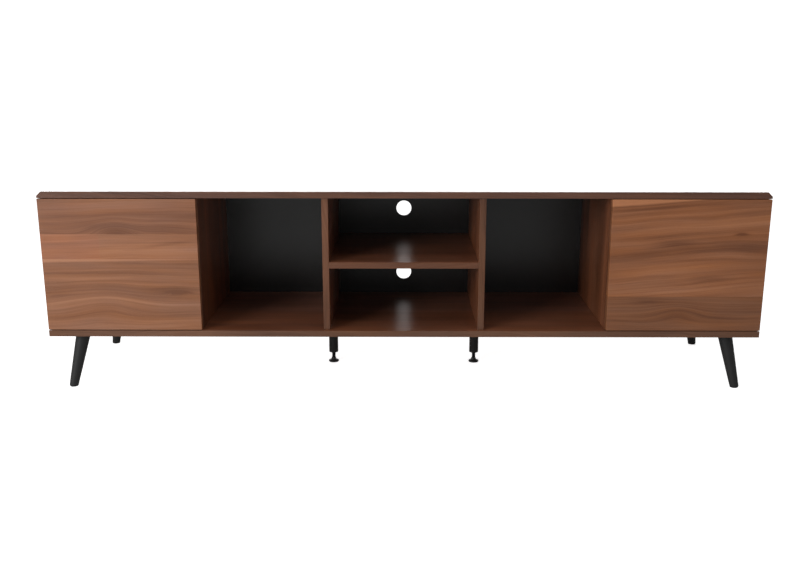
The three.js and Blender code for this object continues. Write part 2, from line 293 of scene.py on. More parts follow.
# The noises that the wood is made of: waves per metre along and across the grain, the step from
# one plank to the next, detail, and roughness.
GRAIN = {
    "long wave": (1.6, 5.0, 3.1, 2.0, 0.55),
    "short wave": (7.0, 26.0, 5.7, 1.0, 0.55),
    "streak": (1.4, 130.0, 7.3, 4.0, 0.70),
    "band": (1.8, 17.0, 1.9, 1.0, 0.55),
    "cloud": (3.0, 16.0, 1.0, 2.0, 0.55),
    "fibre": (11.0, 900.0, 0.7, 3.0, 0.55),
    "hue": (4.5, 34.0, 2.3, 2.0, 0.55),
}

# How far the two waves push the grain lines sideways, and how far the lines move with depth.
LONG_WAVE = mm(42)
SHORT_WAVE = mm(7)
DEPTH_LEAN = 0.35

COOL_TINT = (0.90, 0.99, 1.20)
WARM_TINT = (1.10, 1.01, 0.80)
PORES_PER_METRE = 2600.0
PORE_STRETCH = 0.05
PORE_COVER = 0.30
PORE_DARKNESS = 0.35
SAPWOOD_COVER = 0.75
SAPWOOD_LIGHTNESS = 1.3
SAPWOOD_BLUR = mm(3)

GLOSS_CHANGE = 0.04
RELIEF_STRENGTH = 0.10
RELIEF_DEPTH = mm(0.08)


class Decor:
    """One walnut face: its axes, where its planks meet, and the figure in the grain.

    U runs along the grain and V across it, from the corner (u0, v0), V in the direction of v_sign.
    W is the depth behind w0. cuts are the V of the joints between planks, tints the planks' colours
    and slopes the rise of their grain. The rest is in millimetres:
    figures  (plank, u, v, length, height, rise, change): near (u, v) the grain lines are pushed by
             rise and the tone changes by change;
    strokes  (plank, u, line, length, height, slope, change): a streak along the grain line that
             would meet the plank's low-U end at V = line;
    sapwood  (plank, v, thickness at the low-U end, taper): a pale wedge;
    butts    (plank, u, tint): a butt joint across the plank, with the tint of the piece before it.
    """

    def __init__(self, along, across, u0=0.0, v0=0.0, w0=0.0, v_sign=1, cuts=(), tints=(), slopes=(),
                 figures=(), strokes=(), sapwood=(), butts=(), seed=0.0):
        self.along = along
        self.across = across
        self.u0 = u0
        self.v0 = v0
        self.w0 = w0
        self.v_sign = v_sign
        self.cuts = cuts
        self.tints = tints
        self.slopes = slopes
        self.figures = figures
        self.strokes = strokes
        self.sapwood = sapwood
        self.butts = butts
        self.seed = seed


class Wood:
    """The sockets that the colour and relief of one walnut face are made from."""

    def __init__(self, tree, decor):
        self.tree = tree
        self.decor = decor
        coordinates = tree.node("ShaderNodeTexCoord")
        axes = tree.split(coordinates.outputs["Object"])
        self.facing = tree.split(coordinates.outputs["Normal"])
        self.u = tree.math("SUBTRACT", axes[decor.along], decor.u0)
        self.v = tree.math("MULTIPLY", tree.math("SUBTRACT", axes[decor.across], decor.v0), decor.v_sign)
        self.w = tree.math("SUBTRACT", axes[3 - decor.along - decor.across], decor.w0)
        self.plank = tree.total(0.0, *[tree.math("GREATER_THAN", self.v, cut) for cut in decor.cuts])
        self.line = self.grain_line()
        self.shade = 0.0
        self.push_figures()
        self.draw_strokes()
        self.streak = self.field("streak", self.line)
        self.fibre = self.field("fibre", self.line)
        self.pore = self.pores()

    def on_plank(self, index):
        """1 on one plank and 0 on the others."""
        return self.tree.math("COMPARE", self.plank, float(index), 0.5)

    def field(self, kind, across):
        """Noise about 0, drawn out along the grain and different on every plank."""
        tree = self.tree
        along_scale, across_scale, plank_step, detail, roughness = GRAIN[kind]
        third = tree.total(tree.math("MULTIPLY", self.plank, plank_step), self.w, self.decor.seed)
        place = tree.vector(tree.math("MULTIPLY", self.u, along_scale),
                            tree.math("MULTIPLY", across, across_scale), third)
        return tree.math("SUBTRACT", tree.noise(place, 1.0, detail, roughness), 0.5)

    def grain_line(self):
        """The height across the board whose contours are the grain lines."""
        tree = self.tree
        long_wave = tree.math("MULTIPLY", self.field("long wave", self.v), LONG_WAVE)
        short_wave = tree.math("MULTIPLY", self.field("short wave", self.v), SHORT_WAVE)
        line = tree.total(self.v, long_wave, short_wave, tree.math("MULTIPLY", self.w, DEPTH_LEAN))
        for index, slope in enumerate(self.decor.slopes):
            rise = tree.math("MULTIPLY", self.on_plank(index), slope)
            line = tree.math("MULTIPLY_ADD", self.u, rise, line)
        return line

    def spot(self, plank, across, u, v, length, height, slope=0.0):
        """1 at (u, v) on one plank, falling away over length along the grain and height across it."""
        tree = self.tree
        du = tree.math("SUBTRACT", self.u, mm(u))
        dv = tree.math("MULTIPLY_ADD", du, slope, tree.math("SUBTRACT", across, mm(v)))
        du = tree.math("DIVIDE", du, mm(length))
        dv = tree.math("DIVIDE", dv, mm(height))
        square = tree.math("ADD", tree.math("MULTIPLY", du, du), tree.math("MULTIPLY", dv, dv))
        hill = tree.math("EXPONENT", tree.math("MULTIPLY", square, -1.0))
        return tree.math("MULTIPLY", hill, self.on_plank(plank))

    def push_figures(self):
        for plank, u, v, length, height, rise, change in self.decor.figures:
            spot = self.spot(plank, self.v, u, v, length, height)
            self.line = self.tree.math("MULTIPLY_ADD", spot, mm(rise), self.line)
            self.shade = self.tree.math("MULTIPLY_ADD", spot, change, self.shade)

    def draw_strokes(self):
        for plank, u, line, length, height, slope, change in self.decor.strokes:
            spot = self.spot(plank, self.line, u, line, length, height, slope)
            self.shade = self.tree.math("MULTIPLY_ADD", spot, change, self.shade)

    def tone(self, look):
        """How light the wood is, about 0.5: streaks, broad bands, clouds, fibres and the figure."""
        tree = self.tree
        return tree.total(
            tree.math("MULTIPLY", self.streak, look["streaks"]),
            tree.math("MULTIPLY", self.field("band", self.line), look["bands"]),
            tree.math("MULTIPLY", self.field("cloud", self.line), look["clouds"]),
            tree.math("MULTIPLY", self.fibre, look["fibres"]),
            self.shade, 0.5)

    def colour(self, tones, look):
        tree = self.tree
        dark, middle, light = tones
        colour = tree.ramp(self.tone(look), [(0.08, dark), (0.5, middle), (0.92, light)])
        hue = tree.math("MULTIPLY_ADD", self.field("hue", self.line), 2.0 * look["hue"], 0.5)
        colour = tree.multiply(1.0, colour, tree.mix(hue, COOL_TINT, WARM_TINT))
        colour = self.add_sapwood(colour, tuple(SAPWOOD_LIGHTNESS * c for c in light))
        colour = self.tint_planks(colour)
        cover = tree.math("MULTIPLY", self.pore, PORE_COVER)
        return tree.mix(cover, colour, tuple(PORE_DARKNESS * c for c in dark))

    def tint_planks(self, colour):
        tree = self.tree
        for index, tint in enumerate(self.decor.tints):
            colour = tree.multiply(self.on_plank(index), colour, tint)
        for plank, u, tint in self.decor.butts:
            piece = tree.math("MULTIPLY", self.on_plank(plank), tree.math("LESS_THAN", self.u, mm(u)))
            colour = tree.multiply(piece, colour, tint)
        return colour

    def pores(self):
        """1 in the short open pores along the grain and 0 between them."""
        tree = self.tree
        place = tree.vector(tree.math("MULTIPLY", self.u, PORE_STRETCH), self.v, self.w)
        return tree.smooth(tree.noise(place, PORES_PER_METRE, 1.0, 0.5), 0.64, 0.74)

    def add_sapwood(self, colour, pale):
        tree = self.tree
        for plank, v, thickness, taper in self.decor.sapwood:
            edge = tree.math("MULTIPLY_ADD", self.u, -taper, mm(thickness + v))
            inside = tree.smooth(tree.math("SUBTRACT", edge, self.v), -SAPWOOD_BLUR, SAPWOOD_BLUR)
            mask = tree.math("MULTIPLY", inside, self.on_plank(plank))
            colour = tree.mix(tree.math("MULTIPLY", mask, SAPWOOD_COVER), colour, pale)
        return colour


def walnut(name, decor, tones, edge_tint=None, **changes):
    """Satin walnut decor. With edge_tint, faces turned to the front or the back take that tint."""
    look = {**BOARD_LOOK, **changes}
    material, tree, shader = new_material(name)
    wood = Wood(tree, decor)
    colour = wood.colour(tones, look)
    if edge_tint:
        edge = tree.math("GREATER_THAN", tree.math("ABSOLUTE", wood.facing[Y]), 0.7)
        colour = tree.multiply(edge, colour, edge_tint)
    tree.link(colour, shader.inputs["Base Color"])
    shader.inputs["Specular IOR Level"].default_value = look["specular"]
    gloss = tree.math("SUBTRACT", wood.fibre, wood.streak)
    roughness = tree.math("MULTIPLY_ADD", gloss, GLOSS_CHANGE, look["roughness"])
    tree.link(roughness, shader.inputs["Roughness"])
    relief = tree.math("SUBTRACT", tree.math("MULTIPLY", wood.fibre, 0.5), wood.pore)
    tree.link(tree.bump(relief, RELIEF_STRENGTH, RELIEF_DEPTH), shader.inputs["Normal"])
    return material


# Walnut tones, dark, middle and light, as linear colours. The doors are lighter than the carcass.
DOOR_TONES = {
    "left": ((0.155, 0.058, 0.026), (0.253, 0.102, 0.048), (0.345, 0.156, 0.084)),
    "right": ((0.150, 0.052, 0.020), (0.262, 0.099, 0.040), (0.375, 0.156, 0.070)),
}
BOARD_TONES = ((0.080, 0.029, 0.016), (0.150, 0.056, 0.029), (0.220, 0.087, 0.047))
UPRIGHT_TONES = ((0.088, 0.029, 0.012), (0.166, 0.057, 0.025), (0.244, 0.090, 0.043))
EDGE_TINTS = {"top_panel": (0.70, 0.74, 0.78), "bottom_panel": (0.82, 1.02, 1.10),
              "centre_shelf": (0.78, 0.84, 0.84), "upright": (0.64, 0.76, 0.86)}

TOP_PLANK = mm(94)
SHELF_PLANK = mm(130)
UPRIGHT_PLANK = mm(88)
UPRIGHTS = ("side_panel", "partition", "divider")
BOARD_EDGE = mm(0.7)


def even_cuts(length, width):
    return tuple(width * i for i in range(1, math.ceil(length / width)))


def plank_tints(count, seed):
    """Gentle differences between planks: a fixed wave, the same on every run."""
    tints = []
    for i in range(count):
        level = 1.0 + 0.13 * math.sin(2.4 * i + seed)
        warmth = 0.04 * math.sin(1.7 * i + 2.0 * seed)
        tints.append((level * (1.0 + warmth), level, level * (1.0 - warmth)))
    return tuple(tints)


def board_walnut(node, along, across, width, tones, seed, edge_tint, **changes):
    """Walnut in planks of one width, for the board of a node."""
    low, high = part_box(node)
    cuts = even_cuts(high[across] - low[across], width)
    slopes = tuple(0.02 * math.sin(3.1 * i + seed) for i in range(len(cuts) + 1))
    decor = Decor(along, across, u0=low[along], v0=low[across], cuts=cuts,
                  tints=plank_tints(len(cuts) + 1, seed), slopes=slopes, seed=seed)
    return walnut(f"{node}_walnut", decor, tones, edge_tint, **changes)


def bottom_walnut():
    """The bottom board: its joint near the middle parts warm front planks from rear planks painted lighter
    and greyer, which is painted light on the back of the bays' floor.
    """
    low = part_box("bottom_panel")[0]
    joint = -mm(20) - low.y
    cuts = (joint - mm(92), joint, joint + mm(105))
    # The two rear tints are painted light: they make the back of the bays' floor lighter and greyer than
    # its front.
    tints = ((1.02, 0.97, 0.92), (1.04, 0.99, 0.94), (1.14, 1.26, 1.50), (1.35, 1.50, 1.80))
    decor = Decor(X, Y, u0=low.x, v0=low.y, cuts=cuts, tints=tints,
                  slopes=(0.0, 0.01, -0.01, 0.0), seed=3.0)
    return walnut("bottom_panel_walnut", decor, BOARD_TONES, EDGE_TINTS["bottom_panel"])


# The doors' figure, in millimetres from each door's upper left corner: see Decor for the columns.
LEFT_DOOR = dict(
    cuts=(mm(88), mm(151)), seed=1.3, slopes=(0.0, 0.02, 0.0),
    tints=((0.90, 0.88, 0.87), (1.12, 1.13, 1.12), (0.94, 0.94, 0.92)),
    figures=((0, 186, 92, 52, 40, 36, -0.34),
             (0, 122, 66, 46, 13, 6, -0.16),
             (0, 310, 76, 105, 24, 14, -0.26),
             (0, 372, 45, 70, 6, 0, -0.26),
             (0, 40, 74, 60, 14, 0, -0.12),
             (0, 190, 16, 260, 14, 0, 0.14),
             (2, 151, 262, 92, 44, 22, 0.03),
             (2, 322, 232, 64, 13, 11, -0.32),
             (2, 338, 236, 26, 6, 6, -0.30),
             (2, 20, 243, 50, 6, 4, -0.20),
             (2, 190, 326, 300, 11, 0, 0.20)),
    strokes=((1, 320, 117, 90, 5, 0.14, -0.20),
             (1, 80, 134, 70, 4, 0.02, -0.12),
             (1, 230, 142, 160, 8, 0.0, 0.10),
             (2, 150, 187, 260, 5, 0.0, -0.26),
             (2, 120, 204, 130, 4, 0.0, 0.20),
             (2, 180, 271, 300, 4, 0.0, 0.28),
             (2, 200, 299, 240, 7, 0.0, -0.20),
             (2, 250, 172, 200, 8, 0.0, -0.06)),
    sapwood=((2, 150, 9, 0.018),),
    butts=((1, 145, (1.03, 0.97, 0.98)),))

RIGHT_DOOR = dict(
    cuts=(mm(245),), seed=4.1, slopes=(0.085, 0.0),
    tints=((1.0, 0.98, 0.98), (0.76, 0.76, 0.78)),
    figures=((0, 158, 109, 48, 11, 4, -0.26),
             (0, 321, 86, 16, 5, 6, -0.46),
             (0, 230, 125, 110, 34, 5, 0.0),
             (0, 392, 128, 60, 34, -9, -0.12),
             (0, 190, 190, 190, 24, 0, 0.08),
             (0, 190, 229, 330, 16, 0, 0.30),
             (0, 245, 197, 40, 12, 4, -0.12),
             (1, 101, 259, 42, 9, 5, -0.24),
             (1, 176, 284, 58, 26, 18, -0.08),
             (1, 200, 322, 260, 12, 0, 0.16)),
    strokes=((0, 110, 27, 120, 4, 0.0, -0.26),
             (0, 240, 76, 210, 9, -0.01, 0.24),
             (0, 100, 84, 110, 4, 0.0, 0.14),
             (0, 120, 101, 120, 4, 0.0, -0.18),
             (0, 190, 148, 260, 7, 0.0, -0.22),
             (0, 330, 146, 100, 13, 0.0, -0.18),
             (0, 215, 174, 130, 4, -0.06, -0.26),
             (0, 60, 160, 120, 6, 0.0, 0.10),
             (1, 250, 300, 120, 5, 0.0, -0.14)),
    sapwood=((0, 0, 18, 0.075),))

DOORS = {"left": (LEFT_DOOR, {"streaks": 1.0, "bands": 0.4, "clouds": 0.5, "hue": 0.75}),
         "right": (RIGHT_DOOR, {"streaks": 1.05, "bands": 0.4, "clouds": 0.5, "hue": 0.75})}


def door_walnut(side):
    low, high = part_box(f"{side}_door")
    figure, changes = DOORS[side]
    decor = Decor(X, Z, u0=low.x, v0=high.z, w0=low.y, v_sign=-1, **figure)
    return walnut(f"{side}_door_walnut", decor, DOOR_TONES[side], roughness=0.34, specular=0.35, **changes)


def finish_board(node, material):
    dress(nodes[node], material)
    round_edges(nodes[node], BOARD_EDGE)


def finish_boards():
    top = board_walnut("top_panel", X, Y, TOP_PLANK, BOARD_TONES, 2.0, EDGE_TINTS["top_panel"],
                       roughness=0.22, specular=0.5)
    shelf = board_walnut("centre_shelf", X, Y, SHELF_PLANK, BOARD_TONES, 4.0, EDGE_TINTS["centre_shelf"])
    finish_board("top_panel", top)
    finish_board("bottom_panel", bottom_walnut())
    finish_board("centre_shelf", shelf)
    for side, sign in SIDES.items():
        for i, part in enumerate(UPRIGHTS):
            node = f"{side}_{part}"
            upright = board_walnut(node, Z, Y, UPRIGHT_PLANK, UPRIGHT_TONES, 6.0 + i + sign,
                                   EDGE_TINTS["upright"], streaks=1.7, bands=1.0, clouds=0.9)
            finish_board(node, upright)
        finish_board(f"{side}_door", door_walnut(side))


# ---- Other finishes -------------------------------------------------------------------------------


def back_board():
    """Hardboard: matt black on its inner face, raw pressed fibre on its outer face."""
    material, tree, shader = new_material("black_faced_hardboard")
    coordinates = tree.node("ShaderNodeTexCoord")
    place = coordinates.outputs["Object"]
    facing = tree.split(coordinates.outputs["Normal"])
    outer = tree.math("GREATER_THAN", facing[Y], 0.5)
    mottle = tree.noise(place, 14.0, 4.0, 0.6)
    flake = tree.noise(place, 420.0, 3.0, 0.65)
    black = tree.ramp(mottle, [(0.2, (0.006, 0.006, 0.006)), (0.8, (0.010, 0.010, 0.010))])
    raw = tree.ramp(tree.math("MULTIPLY_ADD", flake, 0.7, tree.math("MULTIPLY", mottle, 0.3)),
                    [(0.30, (0.115, 0.062, 0.033)),
                     (0.52, (0.235, 0.135, 0.074)),
                     (0.75, (0.360, 0.220, 0.130))])
    tree.link(tree.mix(outer, black, raw), shader.inputs["Base Color"])
    tree.link(tree.math("MULTIPLY_ADD", outer, 0.45, tree.math("MULTIPLY_ADD", mottle, 0.06, 0.29)),
              shader.inputs["Roughness"])
    tree.link(tree.bump(tree.math("MULTIPLY", flake, outer), 0.35, 0.0002), shader.inputs["Normal"])
    return material


def black_paint():
    """Satin black paint on turned wood, with the faint orange peel of a sprayed coat."""
    material, tree, shader = new_material("satin_black_paint")
    place = tree.node("ShaderNodeTexCoord").outputs["Object"]
    mottle = tree.noise(place, 30.0, 3.0, 0.5)
    peel = tree.noise(place, 650.0, 2.0, 0.5)
    tree.link(tree.ramp(mottle, [(0.25, (0.011, 0.011, 0.011)), (0.75, (0.016, 0.016, 0.016))]),
              shader.inputs["Base Color"])
    tree.link(tree.math("MULTIPLY_ADD", mottle, 0.12, 0.52), shader.inputs["Roughness"])
    shader.inputs["Specular IOR Level"].default_value = 0.32
    tree.link(tree.bump(peel, 0.22, 0.00015), shader.inputs["Normal"])
    return material


def powder_coat():
    material, tree, shader = new_material("black_powder_coat")
    place = tree.node("ShaderNodeTexCoord").outputs["Object"]
    grit = tree.noise(place, 1500.0, 2.0, 0.6)
    mottle = tree.noise(place, 60.0, 2.0, 0.5)
    tree.link(tree.ramp(mottle, [(0.2, (0.008, 0.008, 0.008)), (0.8, (0.013, 0.013, 0.013))]),
              shader.inputs["Base Color"])
    tree.link(tree.math("MULTIPLY_ADD", grit, 0.20, 0.40), shader.inputs["Roughness"])
    shader.inputs["Specular IOR Level"].default_value = 0.32
    tree.link(tree.bump(grit, 0.35, 0.0001), shader.inputs["Normal"])
    return material


def moulded_plastic(name, low, high, roughness):
    material, tree, shader = new_material(name)
    place = tree.node("ShaderNodeTexCoord").outputs["Object"]
    mottle = tree.noise(place, 45.0, 3.0, 0.5)
    spark = tree.noise(place, 1900.0, 1.0, 0.5)
    tree.link(tree.ramp(mottle, [(0.2, low), (0.8, high)]), shader.inputs["Base Color"])
    tree.link(tree.math("MULTIPLY_ADD", spark, 0.14, roughness), shader.inputs["Roughness"])
    tree.link(tree.bump(spark, 0.25, 0.00006), shader.inputs["Normal"])
    return material


def plated_steel(name, low, high, roughness, brush):
    """Plated steel. Its fine drawn marks run along the axis that has brush's smallest scale."""
    material, tree, shader = new_material(name)
    place = tree.node("ShaderNodeTexCoord").outputs["Object"]
    axes = tree.split(place)
    stretched = tree.vector(*[tree.math("MULTIPLY", axis, scale) for axis, scale in zip(axes, brush)])
    marks = tree.noise(stretched, 1.0, 3.0, 0.6)
    mottle = tree.noise(place, 90.0, 3.0, 0.6)
    shader.inputs["Metallic"].default_value = 1.0
    tree.link(tree.ramp(tree.math("MULTIPLY_ADD", marks, 0.5, tree.math("MULTIPLY", mottle, 0.5)),
                        [(0.25, low), (0.75, high)]), shader.inputs["Base Color"])
    tree.link(tree.math("MULTIPLY_ADD", marks, 0.16, roughness), shader.inputs["Roughness"])
    tree.link(tree.bump(marks, 0.12, 0.00004), shader.inputs["Normal"])
    return material


# ---- Shaping --------------------------------------------------------------------------------------

SHARP_ANGLE = math.radians(32)
JOIN_DISTANCE = mm(0.01)


def dress(piece, material):
    piece.data.materials.clear()
    piece.data.materials.append(material)


def round_edges(piece, width):
    """Joins the split faces of a carried-over piece and rounds its sharp edges a little."""
    weld = piece.modifiers.new("weld", "WELD")
    weld.merge_threshold = JOIN_DISTANCE
    bevel = piece.modifiers.new("edges", "BEVEL")
    bevel.width = width
    bevel.segments = 2
    bevel.limit_method = "ANGLE"
    bevel.angle_limit = math.radians(30)
    bevel.harden_normals = False


def mesh_from(name, bm):
    """The bmesh as a mesh that is shaded smooth except across its sharp edges."""
    mesh = bpy.data.meshes.new(name)
    bm.normal_update()
    bm.to_mesh(mesh)
    bm.free()
    mesh.polygons.foreach_set("use_smooth", [True] * len(mesh.polygons))
    mesh.set_sharp_from_angle(angle=SHARP_ANGLE)
    return mesh


def place_piece(name, mesh, body, material, replaces=()):
    piece = bpy.data.objects.new(name, mesh)
    bpy.context.scene.collection.objects.link(piece)
    mesh.materials.clear()
    mesh.materials.append(material)
    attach(piece, body)
    if replaces:
        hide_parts(*replaces)
    return piece


def finer_copy(node, body, material, edge):
    """A piece that stands for a CAD node: its own faces joined, its sharp edges rounded."""
    bm = bmesh.new()
    bm.from_mesh(nodes[node].data)
    bmesh.ops.remove_doubles(bm, verts=bm.verts, dist=JOIN_DISTANCE)
    bmesh.ops.dissolve_limit(bm, angle_limit=math.radians(0.5), verts=bm.verts, edges=bm.edges)
    sharp = [e for e in bm.edges if e.is_manifold and e.calc_face_angle() > SHARP_ANGLE]
    bmesh.ops.bevel(bm, geom=sharp, offset=edge, segments=2, affect="EDGES", clamp_overlap=True)
    return place_piece(f"{node}_shell", mesh_from(node, bm), body, material, [node])


def turned(profile, segments=64):
    """A turned solid as a bmesh. The (radius, height) pairs start and end on the axis, or close."""
    bm = bmesh.new()
    rings = []
    for radius, height in profile:
        if radius < 1e-7:
            rings.append([bm.verts.new((0.0, 0.0, height))])
            continue
        ring = []
        for i in range(segments):
            angle = 2 * math.pi * i / segments
            ring.append(bm.verts.new((radius * math.cos(angle), radius * math.sin(angle), height)))
        rings.append(ring)
    for lower, upper in zip(rings, rings[1:]):
        for i in range(segments):
            j = (i + 1) % segments
            corners = [lower[i % len(lower)], lower[j % len(lower)],
                       upper[j % len(upper)], upper[i % len(upper)]]
            # Where a ring is a single point on the axis, it takes one corner of a triangle.
            face = list(dict.fromkeys(corners))
            if len(face) > 2:
                bm.faces.new(face)
    bmesh.ops.recalc_face_normals(bm, faces=bm.faces)
    return bm


def fillet(centre_radius, centre_height, radius, start, end, steps=6):
    """Points on an arc of a turned profile. Angles are in degrees from the outward direction."""
    points = []
    for i in range(steps + 1):
        angle = math.radians(start + (end - start) * i / steps)
        points.append((centre_radius + radius * math.cos(angle), centre_height + radius * math.sin(angle)))
    return points


# ---- Legs -----------------------------------------------------------------------------------------

LEG_TIP_RADIUS = mm(11)
LEG_HEAD_RADIUS = mm(18.5)
LEG_TIP_ROUND = mm(6)
LEG_SPLAY = mm(28)
LEG_BELOW = mm(3)
LEG_ABOVE = mm(8)


def leg_profile(length):
    """The leg as it is turned, a little too long at both ends, from its tip at height 0."""
    profile = [(0.0, -LEG_BELOW)]
    profile += fillet(LEG_TIP_RADIUS - LEG_TIP_ROUND, LEG_TIP_ROUND - LEG_BELOW, LEG_TIP_ROUND, -90, 0, 8)
    steps = 10
    for i in range(1, steps + 1):
        share = i / steps
        radius = LEG_TIP_RADIUS + (LEG_HEAD_RADIUS - LEG_TIP_RADIUS) * share
        profile.append((radius, (length + LEG_ABOVE) * share))
    profile.append((0.0, length + LEG_ABOVE))
    return profile


def saw_level(bm, level, waste):
    """Saws the piece off level. waste is 1 to lose what is above the cut and -1 what is below it."""
    geometry = bm.verts[:] + bm.edges[:] + bm.faces[:]
    made = bmesh.ops.bisect_plane(bm, geom=geometry, dist=1e-7, plane_co=(0, 0, level),
                                  plane_no=(0, 0, waste), clear_outer=True)
    rim = [e for e in made["geom_cut"] if isinstance(e, bmesh.types.BMEdge)]
    bmesh.ops.contextual_create(bm, geom=rim)


def make_leg(side, end, material):
    """The turned, tapered leg, leaned outwards and sawn level at the floor and under its plate."""
    node = f"{end}_{side}_leg"
    low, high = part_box(node)
    plate_low, plate_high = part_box(f"{node}_plate")
    head = Vector(((plate_low.x + plate_high.x) / 2, (plate_low.y + plate_high.y) / 2, plate_high.z))
    tip = Vector((head.x + SIDES[side] * LEG_SPLAY, head.y + ENDS[end] * LEG_SPLAY, 0.0))
    along = head - tip
    bm = turned(leg_profile(along.length), 72)
    lean = Vector((0, 0, 1)).rotation_difference(along).to_matrix().to_4x4()
    bmesh.ops.transform(bm, matrix=Matrix.Translation(tip) @ lean, verts=bm.verts)
    saw_level(bm, low.z, -1)
    saw_level(bm, high.z, 1)
    bmesh.ops.recalc_face_normals(bm, faces=bm.faces)
    place_piece(f"{node}_turned", mesh_from(node, bm), "carcass", material, [node])


# ---- Centre feet ----------------------------------------------------------------------------------

SLEEVE_RADIUS = mm(12.5)
SLEEVE_BORE = mm(5.3)
SLEEVE_LIP = mm(1.5)
FLANGE_THICKNESS = mm(3)
FLANGE_LIP = mm(1)
FLANGE_SCREW_CIRCLE = mm(18.4)
NECK_TOP = mm(12)
SCREW_RADIUS = mm(5)
THREAD_PITCH = mm(1.5)
THREAD_DEPTH = mm(0.75)
THREAD_ROOT = mm(0.3)
THREAD_SEGMENTS = 24


def turned_at(profile, centre):
    """A turned solid on the upright axis through a centre, its repeated points joined."""
    bm = turned(profile)
    bmesh.ops.remove_doubles(bm, verts=bm.verts, dist=1e-7)
    bmesh.ops.recalc_face_normals(bm, faces=bm.faces)
    bmesh.ops.translate(bm, vec=(centre.x, centre.y, 0), verts=bm.verts)
    return bm


def make_sleeve(side, material):
    """The sleeve, with a rounded lower lip and a flange that is screwed to the bottom board."""
    node = f"{side}_centre_foot_sleeve"
    low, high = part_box(node)
    flange = (high.x - low.x) / 2
    flange_under = high.z - FLANGE_THICKNESS
    profile = [(SLEEVE_BORE, high.z), (SLEEVE_BORE, low.z)]
    profile += fillet(SLEEVE_RADIUS - SLEEVE_LIP, low.z + SLEEVE_LIP, SLEEVE_LIP, -90, 0)
    profile += [(SLEEVE_RADIUS, flange_under - mm(1.2)),
                (SLEEVE_RADIUS + mm(0.4), flange_under - mm(0.35)),
                (SLEEVE_RADIUS + mm(1.2), flange_under)]
    profile += fillet(flange - FLANGE_LIP, flange_under + FLANGE_LIP, FLANGE_LIP, -90, 0, 4)
    profile += [(flange, high.z), (SLEEVE_BORE, high.z)]
    bm = turned_at(profile, centre_of(low, high))
    place_piece(f"{node}_turned", mesh_from(node, bm), "carcass", material, [node])


def thread(bottom, top):
    """A screw thread as one helical ridge wound about the core, closed at both ends."""
    bm = bmesh.new()
    turns = (top - bottom) / THREAD_PITCH
    steps = int(turns * THREAD_SEGMENTS)
    core = SCREW_RADIUS - THREAD_DEPTH
    root = core - THREAD_ROOT
    rows = []
    for i in range(steps + 1):
        angle = 2 * math.pi * i / THREAD_SEGMENTS
        height = bottom + THREAD_PITCH * i / THREAD_SEGMENTS
        fade = min(1.0, i / THREAD_SEGMENTS, (steps - i) / THREAD_SEGMENTS)
        crest = core + THREAD_DEPTH * fade
        row = []
        for radius, offset in ((root, -0.40), (crest, -0.06), (crest, 0.06), (root, 0.40)):
            row.append(bm.verts.new((radius * math.cos(angle), radius * math.sin(angle),
                                     height + offset * THREAD_PITCH)))
        rows.append(row)
    for lower, upper in zip(rows, rows[1:]):
        for i in range(4):
            j = (i + 1) % 4
            bm.faces.new((lower[i], lower[j], upper[j], upper[i]))
    bm.faces.new(rows[0])
    bm.faces.new(reversed(rows[-1]))
    bmesh.ops.recalc_face_normals(bm, faces=bm.faces)
    return bm


def make_pad(side, material):
    """The round pad with a rounded rim and a flared neck."""
    node = f"{side}_centre_foot_screw_pad"
    low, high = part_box(node)
    pad = (high.x - low.x) / 2
    profile = [(0.0, low.z), (pad - mm(1.2), low.z)]
    profile += fillet(pad - mm(1.2), low.z + mm(1.2), mm(1.2), -90, 0, 4)
    profile += fillet(pad - mm(1.6), mm(2.9), mm(1.6), 0, 72, 5)
    profile += [(mm(10.4), mm(5.2)), (mm(8.2), mm(6.5)), (mm(6.9), mm(8.2)), (mm(6.4), mm(10.0))]
    profile += [(mm(6.2), NECK_TOP - mm(0.4)), (mm(5.7), NECK_TOP), (0.0, NECK_TOP)]
    bm = turned_at(profile, centre_of(low, high))
    mesh = mesh_from(f"{node}_pad", bm)
    place_piece(f"{node}_pad", mesh, f"{side}_foot", material, [node])


def make_screw(side, material):
    """The threaded screw that goes up from the pad's neck into the sleeve."""
    low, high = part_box(f"{side}_centre_foot_screw_pad")
    centre = centre_of(low, high)
    core = SCREW_RADIUS - THREAD_DEPTH
    bm = turned([(0.0, NECK_TOP - mm(1)), (core, NECK_TOP - mm(1)), (core, high.z - mm(1)),
                 (core - mm(1), high.z), (0.0, high.z)], 48)
    ridge = thread(NECK_TOP + mm(0.4), high.z - mm(2))
    ridge_mesh = bpy.data.meshes.new("ridge")
    ridge.to_mesh(ridge_mesh)
    ridge.free()
    bm.from_mesh(ridge_mesh)
    bpy.data.meshes.remove(ridge_mesh)
    bmesh.ops.translate(bm, vec=(centre.x, centre.y, 0), verts=bm.verts)
    mesh = mesh_from("screw", bm)
    place_piece(f"{side}_centre_foot_screw", mesh, f"{side}_foot", material)


# ---- Small fittings -------------------------------------------------------------------------------


def cross_bar(width, length, top, depth):
    """The tool that cuts a cross recess: a cross-shaped bar, narrower at its lower end."""
    bm = bmesh.new()
    w, l = width / 2, length / 2
    outline = [(-w, -l), (w, -l), (w, -w), (l, -w), (l, w), (w, w), (w, l), (-w, l), (-w, w), (-l, w),
               (-l, -w), (-w, -w)]
    lower = [bm.verts.new((0.75 * x, 0.75 * y, top - depth)) for x, y in outline]
    upper = [bm.verts.new((1.1 * x, 1.1 * y, top + depth)) for x, y in outline]
    bm.faces.new(reversed(lower))
    bm.faces.new(upper)
    for i in range(len(outline)):
        j = (i + 1) % len(outline)
        bm.faces.new((lower[i], lower[j], upper[j], upper[i]))
    return bm


def loose_object(name, bm):
    mesh = bpy.data.meshes.new(name)
    bm.to_mesh(mesh)
    bm.free()
    item = bpy.data.objects.new(name, mesh)
    bpy.context.scene.collection.objects.link(item)
    return item


